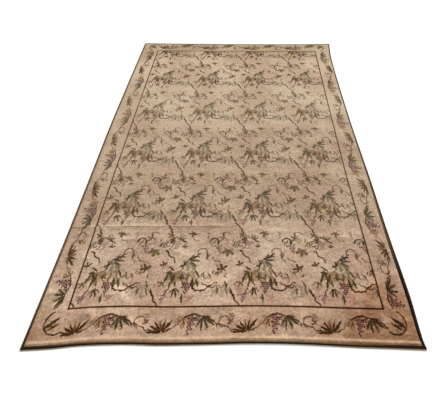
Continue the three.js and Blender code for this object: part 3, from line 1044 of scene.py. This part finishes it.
def fade_and_shade(node, cloth, place, at, ground, lined):
    """Fading and painted shade along the rug. The ramp holds its tint, partly fading and partly
    painted shade, and in its alpha what is left of the pattern. Rows of stitches take the dye a
    little differently, and so does each stitch."""
    length_share = node("MapRange", at[1], -HALF_LENGTH * MM, HALF_LENGTH * MM, clamp=False)
    fading_and_shade = node("ValToRGB", length_share, out=None)
    ramp = fading_and_shade[0].node.color_ramp
    ramp.interpolation = "EASE"
    for stop, (share, tint, left) in enumerate(FADING_AND_SHADE):
        if stop > 1:
            ramp.elements.new(share)
        ramp.elements[stop].position = share
        ramp.elements[stop].color = (*to_linear(tint), left)
    held = node("Mix", {0: fading_and_shade[1], 6: ground, 7: lined}, **COLOURS)
    streak_place = node("Mapping", {0: place, 3: (14, 230, 1)}, vector_type="POINT")
    streak = node("TexNoise", {"Vector": streak_place, "Scale": 1.0, "Detail": 2.0}, **FLAT)
    own_tone = node("TexWhiteNoise", cloth, **FLAT)
    toned = node("MULTIPLY_ADD", streak, 0.3, 1.03)
    mottle = node("TexNoise", {"Vector": place, "Scale": 75.0, "Detail": 3.0}, **FLAT)
    tone = node("MULTIPLY_ADD", own_tone, 0.26, node("MULTIPLY_ADD", mottle, 1.1, -0.55))
    shade = node("ADD", toned, tone)
    streaked = node("VectorMath:SCALE", {0: held, 3: shade})
    # Tints the whole face by the ramp: partly fading, partly painted shade along the length
    return node("Mix", {0: 1.0, 6: streaked, 7: fading_and_shade[0]}, **TINT)


def soil_and_painted_light(node, dyes, place, at, faded_and_shaded):
    """Soil and painted light. The front end and its corners are browner and darker, partly soil and
    partly painted shade, the crease across the rug holds a line of painted shade on its left,
    which comes and goes, the tops of the folds are lighter as a painted highlight, and so is
    the fold of the front hem."""
    # Browner and darker towards the front end and its corners: partly soil, partly painted shade
    to_front = node("MapRange", at[1], *FRONT_SOIL_AND_SHADE, **SMOOTH)
    from_middle = node("ABSOLUTE", node("ADD", at[0], SOIL_AND_SHADE_SHIFT))
    to_side = node("MapRange", from_middle, *SIDE_SOIL_AND_SHADE, **SMOOTH)
    corner_soil_and_shade = node("MULTIPLY", to_front, to_side)
    soil_and_shade_blotches = node("TexNoise", {"Vector": place, "Scale": 14.0, "Detail": 4.0}, **FLAT)
    blotching = node("MULTIPLY_ADD", soil_and_shade_blotches, 2.2, 0.2)
    spread = node("MULTIPLY_ADD", to_front, 0.15, corner_soil_and_shade)
    soil_and_shade = node("MULTIPLY", spread, blotching, use_clamp=True)
    soiled_and_shaded = node("Mix", {0: soil_and_shade, 6: faded_and_shaded, 7: dyes["soil_and_shade"]}, **TINT)

    # Painted shade: a darker line along the crease across the rug, on its left, that comes and goes
    off_crease = node("ABSOLUTE", node("SUBTRACT", at[1], CREASE_LINE * MM))
    in_crease = node("MapRange", off_crease, *CREASE_SPREAD, **SMOOTH)
    crease_on_left = node("MULTIPLY", in_crease, node("MapRange", at[0], *CREASE_LEFT, **SMOOTH))
    painted_crease_shade = node("MULTIPLY", crease_on_left, node("MULTIPLY", soil_and_shade_blotches, 1.7), use_clamp=True)
    creased = node("Mix", {0: painted_crease_shade, 6: soiled_and_shaded, 7: dyes["crease"]}, **TINT)

    # Painted highlight: the tops of the folds are lighter by their height
    height = node("SeparateXYZ", node("UVMap", uv_map="Raised"), out=None)
    pale = node("MULTIPLY_ADD", height[0], 0.24, 1.0)
    ridged = node("VectorMath:SCALE", {0: creased, 3: pale})
    # Painted highlight along the fold of the front hem
    off_hem = node("ABSOLUTE", node("SUBTRACT", at[1], HEM_LINE * MM))
    hem_highlight = node("MapRange", off_hem, *HEM_SPREAD, 0.0, 0.6, **SMOOTH)
    return node("Mix", {0: hem_highlight, 6: ridged, 7: dyes["hem_highlight"]}, **COLOURS)


def stitch_bump(node, stitch, place, at):
    """Each stitch is a bead that leans over its cell, on cloth that the stitches pucker."""
    within = node("VectorMath:FRACTION", node("VectorMath:SCALE", {0: place, 3: 1 / stitch}))
    centred = node("VectorMath:SUBTRACT", within, (0.5, 0.5, 0))
    lean = {2: (0, 0, math.radians(45)), 3: (1.9, 1.1, 1)}
    leaned = node("Mapping", {0: centred} | lean, vector_type="POINT")
    off_bead = node("VectorMath:LENGTH", leaned, out=1)
    fuzz = node("TexNoise", {"Vector": place, "Scale": 420.0, "Detail": 2.0}, **FLAT)
    bead = node("MULTIPLY_ADD", off_bead, -0.8, fuzz)
    pull = {2: (0, 0, math.radians(38)), 3: (1 / 8, 1 / 17, 1)}
    drawn = node("Mapping", {0: place} | pull, vector_type="TEXTURE")
    pucker = node("TexNoise", {"Vector": drawn, "Scale": 1.0, "Detail": 3.0}, **FLAT)
    slack = node("MULTIPLY", pucker, node("MapRange", at[1], 0.3, -1.1, 0.25, 1.0))
    puckered = node("Bump", {"Strength": 1.0, "Distance": 0.022, "Height": slack})
    return node(
        "Bump", {"Strength": 0.55, "Distance": 0.0011, "Height": bead, "Normal": puckered},
    )


def worked_wool(sizes, colours):
    """Wool tent stitches on canvas: matt, faintly fuzzy, each stitch a small slanting bead.
    A stitch is about 2.5 mm on such a rug and is drawn at 3 mm, so that it shows."""
    material, node = new_material("Wool tent stitch")
    dyes, stitch = dyed(colours), sizes.stitch
    place = node("UVMap", uv_map="Worked")
    waver = node("TexNoise", {"Vector": place, "Scale": 80.0, "Detail": 2.0}, out=1, **FLAT)
    drift = node("VectorMath:SUBTRACT", waver, (0.5, 0.5, 0.5))
    small = node("VectorMath:MULTIPLY", drift, (0.009, 0.009, 0))
    cloth = stitch_middle(node, place, small, stitch)
    patches = node("TexNoise", {"Vector": place, "Scale": 3.2, "Detail": 3.0}, **FLAT)
    patch = node("MapRange", patches, 0.35, 0.65, **SMOOTH)
    ground = node("Mix", {0: patch, 6: dyes["ground_dark"], 7: dyes["ground_light"]}, **COLOURS)
    past = node("UVMap", uv_map="Beyond guard line")
    past_middle = stitch_middle(node, past, small, stitch)
    pattern = vine_pattern(node, dyes, ground, cloth, past_middle)

    # The guard line runs where the greater of the two distances is near zero
    nearest = node("SeparateXYZ", past, out=None)
    off_line = node("ABSOLUTE", node("MAXIMUM", nearest[0], nearest[1]))
    line = node("MapRange", off_line, *GUARD_SPREAD, clamp=False)
    lined = node("Mix", {0: line, 6: pattern, 7: dyes["guard_line"]}, **COLOURS)

    at = node("SeparateXYZ", place, out=None)
    faded_and_shaded = fade_and_shade(node, cloth, place, at, ground, lined)
    surface = node("BsdfPrincipled", {
        "Base Color": soil_and_painted_light(node, dyes, place, at, faded_and_shaded), "Roughness": 0.95,
        "Specular IOR Level": 0.05, "Sheen Weight": 0.01, "Sheen Roughness": 0.6,
        "Normal": stitch_bump(node, stitch, place, at),
    })
    node("OutputMaterial", surface, out=None)
    return material


def overcast_wool(colours):
    """Thick wool oversewn round the edge: brown on its inner half and darker on its outer one as
    painted shade, and nearly black at the front corners and along the right, partly soil from
    handling and partly painted shade."""
    material, node = new_material("Oversewn wool")
    dyes = dyed(colours)
    place = node("TexCoord", out="Object")
    at = node("SeparateXYZ", place, out=None)
    # Nearly black towards the front corners and along the right: partly soil, partly painted shade
    to_corner = node("MapRange", node("ABSOLUTE", at[0]), 0.5, 0.85, **SMOOTH)
    to_front = node("MapRange", node("MULTIPLY_ADD", at[0], -0.2, at[1]), -0.9, -1.25, **SMOOTH)
    soil_and_shade_share = node("MULTIPLY", to_corner, to_front)
    clumps = node("TexNoise", {"Vector": place, "Scale": 60.0, "Detail": 3.0})
    mixed = node("Mix", {0: clumps, 6: dyes["binding_dark"], 7: dyes["binding_light"]}, **COLOURS)
    dark = node("Mix", {0: soil_and_shade_share, 6: mixed, 7: dyes["binding_soil_and_shade"]}, **COLOURS)
    # Painted shade: the outer half of the wool's round, its outer top and side, is darker
    turn = node("SeparateXYZ", node("UVMap", uv_map="Round the wool"), out=None)
    outer = node("MapRange", turn[0], 0.59, 0.67, **SMOOTH)
    outer_shaded = node("Mix", {0: outer, 6: dark, 7: dyes["binding_outer_shade"]}, **COLOURS)
    fibres = node("TexNoise", {"Vector": place, "Scale": 900.0, "Detail": 2.0})
    bump = node("Bump", {"Strength": 0.5, "Distance": 0.0006, "Height": fibres})
    surface = node("BsdfPrincipled", {
        "Base Color": outer_shaded, "Roughness": 0.95, "Specular IOR Level": 0.1, "Normal": bump,
    })
    node("OutputMaterial", surface, out=None)
    return material


def backing_cotton(sizes, colours):
    """Plain-woven cotton: threads over and under each other, drawn at 1.6 mm for a real
    0.6 mm, dull and unbleached, in soft blots."""
    material, node = new_material("Plain-woven cotton")
    dyes = dyed(colours)
    place = node("UVMap", uv_map="Woven")
    turns = node("VectorMath:SCALE", {0: place, 3: math.pi / sizes.thread})
    xyz = node("SeparateXYZ", node("VectorMath:SINE", turns), out=None)
    over = node("MULTIPLY", xyz[0], xyz[1])
    blots = node("TexNoise", {"Vector": place, "Scale": 9.0, "Detail": 4.0}, **FLAT)
    slub = node("MULTIPLY_ADD", over, 0.12, blots, use_clamp=True)
    shade = node("Mix", {0: slub, 6: dyes["cotton_dark"], 7: dyes["cotton_light"]}, **COLOURS)
    bump = node("Bump", {"Strength": 0.5, "Distance": 0.0004, "Height": over})
    surface = node("BsdfPrincipled", {
        "Base Color": shade, "Roughness": 0.92, "Specular IOR Level": 0.2, "Normal": bump,
    })
    node("OutputMaterial", surface, out=None)
    return material


# ---- What a user may change

def length(name, description, default, least=0.0001):
    """A length in metres."""
    return bpy.props.FloatProperty(
        name=name, description=description, default=default, min=least, unit="LENGTH",
        subtype="DISTANCE", precision=5,
    )


def colour(description, shade):
    """A colour whose default is an sRGB hex value."""
    return bpy.props.FloatVectorProperty(
        description=description.capitalize(), default=to_linear(shade), size=3, min=0, max=1,
        subtype="COLOR",
    )


class RugSizes(bpy.types.PropertyGroup):
    """Thicknesses and stitch sizes."""

    cloth_thickness: length("Cloth thickness", "Worked canvas from underside to face", 0.0042)
    backing_thickness: length("Backing thickness", "Cotton cloth under the rug", 0.0012)
    binding_height: length("Binding height", "Oversewn edge above the backing", 0.0052)
    wrap_pitch: length("Wrap pitch", "From one wrap of the edge wool to the next", 0.006)
    stitch: length("Stitch", "Side of the square that one drawn stitch fills", 0.003)
    thread: length("Backing thread", "From one drawn thread of the backing to the next", 0.0016)


# The pattern's wools: their dark and light shades and what they work
WOOLS = {
    "sage": ("#66563f", "#ab9a80", "pale leaves"),
    "tan": ("#5f3e1b", "#a2865c", "yellowish leaves"),
    "olive": ("#201602", "#7c663c", "darkest leaves"),
    "moss": ("#3a280e", "#9e7f58", "brownish green leaves"),
    "green": ("#2a200e", "#8c7854", "grey-green leaves"),
    "plum": ("#26060e", "#783040", "dark grapes"),
    "rose": ("#7a4234", "#a8796a", "pink grapes"),
    "amber": ("#865a42", "#a4806a", "orange grapes"),
    "mauve": ("#5c2c34", "#94646a", "mauve grapes"),
    "lilac": ("#4e2830", "#8c6066", "violet grapes"),
    "umber": ("#241204", "#7a5630", "brown leaves"),
    "rust": ("#4a2c14", "#8e6842", "reddish stems and sprigs"),
    "bark": ("#40240c", "#583719", "stems"),
}
OTHER_COLOURS = {
    "ground_light": ("#b9a085", "faded ground"),
    "ground_dark": ("#ac9076", "ground in its darker patches"),
    # Soil and painted shade at the front end and its corners
    "soil_and_shade": ("#c9b2a0", "tint of the soiled front corners"),
    # Painted shade in the crease across the rug
    "crease": ("#aaa698", "tint of the soil in the crease"),
    # Painted highlight along the fold of the front hem
    "hem_highlight": ("#c8a888", "fold of the front hem"),
    "guard_line": ("#442408", "line between field and border"),
    "binding_dark": ("#503820", "oversewn wool"),
    "binding_light": ("#7c5c3a", "faded oversewn wool"),
    # Painted shade on the outer half of the oversewn wool
    "binding_outer_shade": ("#24160a", "outer half of the oversewn wool"),
    # Nearly black oversewn wool at the front corners and along the right: partly soil, partly
    # painted shade
    "binding_soil_and_shade": ("#140b06", "soiled oversewn wool"),
    "cotton_dark": ("#a38f70", "soiled backing"),
    "cotton_light": ("#d0c1a6", "clean backing"),
}


class RugColours(bpy.types.PropertyGroup):
    """Colours of the wools and cloths, one property for each row of the two tables."""


for name, (shade, use) in OTHER_COLOURS.items():
    RugColours.__annotations__[name] = colour(use, shade)
for name, (dark, light, use) in WOOLS.items():
    RugColours.__annotations__[name + "_dark"] = colour(f"dark side of the {use}", dark)
    RugColours.__annotations__[name + "_light"] = colour(f"light side of the {use}", light)


# ---- Operators

FLOOR_REACH = 20.0
FLOOR_GAP = 0.0003         # keeps the floor just under the backing
CAMERA_PLACE = (0.1145, -1.5767, 1.4651)   # from the middle of the cut
CAMERA_TILT = 35.261
LIGHT_WAY = (-0.55, -0.72, -0.45)


def ready_piece(piece, slot, *nodes):
    """Rides a piece on the rug and hides the frame's nodes for it. The slot is not used."""
    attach(piece, BODY)
    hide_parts(*nodes)
    return piece


class RUG_OT_lay_backing(bpy.types.Operator):
    """Lay the cotton backing on the floor"""

    bl_idname = "rug.lay_backing"
    bl_label = "Lay backing"

    def execute(self, context):
        sizes, colours = context.scene.rug_sizes, context.scene.rug_colours
        piece = backing_cloth(sizes, backing_cotton(sizes, colours))
        ready_piece(piece, "backing_cotton", "backing_cloth")
        return {"FINISHED"}


class RUG_OT_sew_bindings(bpy.types.Operator):
    """Oversew the four edges with wool"""

    bl_idname = "rug.sew_bindings"
    bl_label = "Sew bindings"

    def execute(self, context):
        sizes = context.scene.rug_sizes
        wool = overcast_wool(context.scene.rug_colours)
        strips = {
            "binding_left": side_binding("edging_left", sizes, -1, wool),
            "binding_right": side_binding("edging_right", sizes, 1, wool),
            "binding_front": end_binding("edging_front", sizes, FRONT_OF_BINDING, 1, wool),
            "binding_back": end_binding("edging_back", sizes, HALF_LENGTH, -1, wool),
        }
        for node, piece in strips.items():
            ready_piece(piece, "binding_wool", node)
        return {"FINISHED"}


class RUG_OT_work_face(bpy.types.Operator):
    """Work the grapevine face and lay it on the backing"""

    bl_idname = "rug.work_face"
    bl_label = "Work face"

    def execute(self, context):
        sizes, colours = context.scene.rug_sizes, context.scene.rug_colours
        piece = worked_cloth(sizes, worked_wool(sizes, colours))
        ready_piece(piece, "worked_wool", "needlepoint_face")
        return {"FINISHED"}


class RUG_OT_set_stage(bpy.types.Operator):
    """Set the floor, the lights and the camera"""

    bl_idname = "rug.set_stage"
    bl_label = "Set stage"

    def execute(self, context):
        scene = context.scene
        scene.view_settings.view_transform = "Standard"
        paper, node = new_material("White paper")
        surface = node("BsdfPrincipled", {
            "Base Color": (0.92, 0.92, 0.92, 1), "Roughness": 1.0, "Specular IOR Level": 0.0,
        })
        node("OutputMaterial", surface, out=None)
        corners = np.array([(-1, -1, 0), (1, -1, 0), (1, 1, 0), (-1, 1, 0)]) * FLOOR_REACH
        floor = new_piece("floor", corners - (0, 0, FLOOR_GAP), [(0, 1, 2, 3)], paper, [])

        world = bpy.data.worlds.new("Studio")
        world.use_nodes = True
        background = world.node_tree.nodes["Background"]
        background.inputs["Color"].default_value = (1.0, 1.0, 1.0, 1)
        background.inputs["Strength"].default_value = 0.55
        scene.world = world

        key = bpy.data.lights.new("Window", "SUN")
        key.energy, key.angle = 4.5, math.radians(14)
        lamp = bpy.data.objects.new("Window", key)
        lamp.rotation_euler = Vector(LIGHT_WAY).to_track_quat("-Z", "Y").to_euler()
        scene.collection.objects.link(lamp)

        lens = bpy.data.cameras.new("Camera")
        lens.sensor_width, lens.lens, lens.shift_x = 36, 24.307, -0.0766
        camera = bpy.data.objects.new("Camera", lens)
        x, y, z = CAMERA_PLACE
        camera.location = (x + TO_MIDDLE[0] * MM, y + TO_MIDDLE[1] * MM, z)
        camera.rotation_euler = (math.radians(CAMERA_TILT), 0, 0)
        scene.collection.objects.link(camera)
        scene.camera = camera
        return {"FINISHED"}


class RUG_PT_panel(bpy.types.Panel):
    """The rug's sizes, colours and steps."""

    bl_idname = "RUG_PT_panel"
    bl_label = "Needlepoint rug"
    bl_space_type = "VIEW_3D"
    bl_region_type = "UI"
    bl_category = "Rug"

    def draw(self, context):
        for group in (context.scene.rug_sizes, context.scene.rug_colours):
            for name in group.__annotations__:
                self.layout.prop(group, name)
        for step in STEPS:
            self.layout.operator(step.bl_idname)


STEPS = (RUG_OT_set_stage, RUG_OT_lay_backing, RUG_OT_sew_bindings, RUG_OT_work_face)
CLASSES = (RugSizes, RugColours, *STEPS, RUG_PT_panel)


def register():
    for one in CLASSES:
        bpy.utils.register_class(one)
    bpy.types.Scene.rug_sizes = bpy.props.PointerProperty(type=RugSizes)
    bpy.types.Scene.rug_colours = bpy.props.PointerProperty(type=RugColours)


def unregister():
    del bpy.types.Scene.rug_colours
    del bpy.types.Scene.rug_sizes
    for one in reversed(CLASSES):
        bpy.utils.unregister_class(one)


def main():
    """Runs every step in order."""
    register()
    bpy.ops.rug.set_stage()
    bpy.ops.rug.lay_backing()
    bpy.ops.rug.sew_bindings()
    bpy.ops.rug.work_face()


if __name__ == "__main__":
    main()
